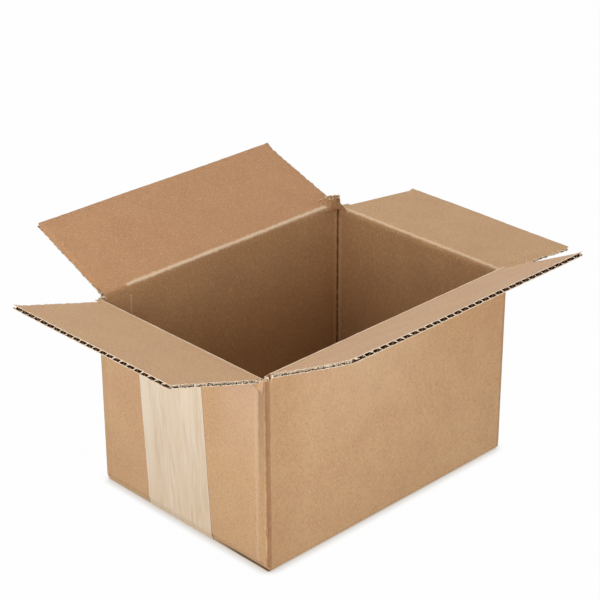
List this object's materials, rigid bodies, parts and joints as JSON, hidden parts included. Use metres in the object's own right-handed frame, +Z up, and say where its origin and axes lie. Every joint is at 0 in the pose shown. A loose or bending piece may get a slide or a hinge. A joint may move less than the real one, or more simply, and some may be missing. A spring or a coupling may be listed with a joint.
{
  "type": "corrugated cardboard box",
  "caption": "Plain kraft shipping box of corrugated board with taped bottom; its top flaps fold on creases, from shut to hanging outside.",
  "frame": {"origin": "middle of the underside of the folded box, on the surface it stands on", "axes": "+X along the long walls, the taped end wall is at -X; +Y across the box; +Z up out of its mouth"},
  "size_m": [0.4299, 0.3446, 0.2037],
  "materials": {
    "kraft_board": "matt brown kraft liner",
    "paper_tape": "satin pale tape"
  },
  "bodies": {
    "box": {"box_body": "kraft_board", "sealing_tape": "paper_tape"},
    "front_flap": {"front_flap": "kraft_board"},
    "back_flap": {"back_flap": "kraft_board"},
    "right_flap": {"right_flap": "kraft_board"},
    "left_flap": {"left_flap": "kraft_board"}
  },
  "joints": [
    {"name": "front_crease", "type": "hinge", "parent": "box", "child": "front_flap", "pos_m": [0, -0.094, 0.1612], "axis": [1, 0, 0], "range_deg": [-153, 107]},
    {"name": "back_crease", "type": "hinge", "parent": "box", "child": "back_flap", "pos_m": [0, 0.094, 0.1612], "axis": [-1, 0, 0], "range_deg": [-158.5, 101.5]},
    {"name": "right_crease", "type": "hinge", "parent": "box", "child": "right_flap", "pos_m": [0.131, 0, 0.157], "axis": [0, 1, 0], "range_deg": [-186, 74]},
    {"name": "left_crease", "type": "hinge", "parent": "box", "child": "left_flap", "pos_m": [-0.131, 0, 0.157], "axis": [0, -1, 0], "range_deg": [-162.5, 97.5]}
  ]
}
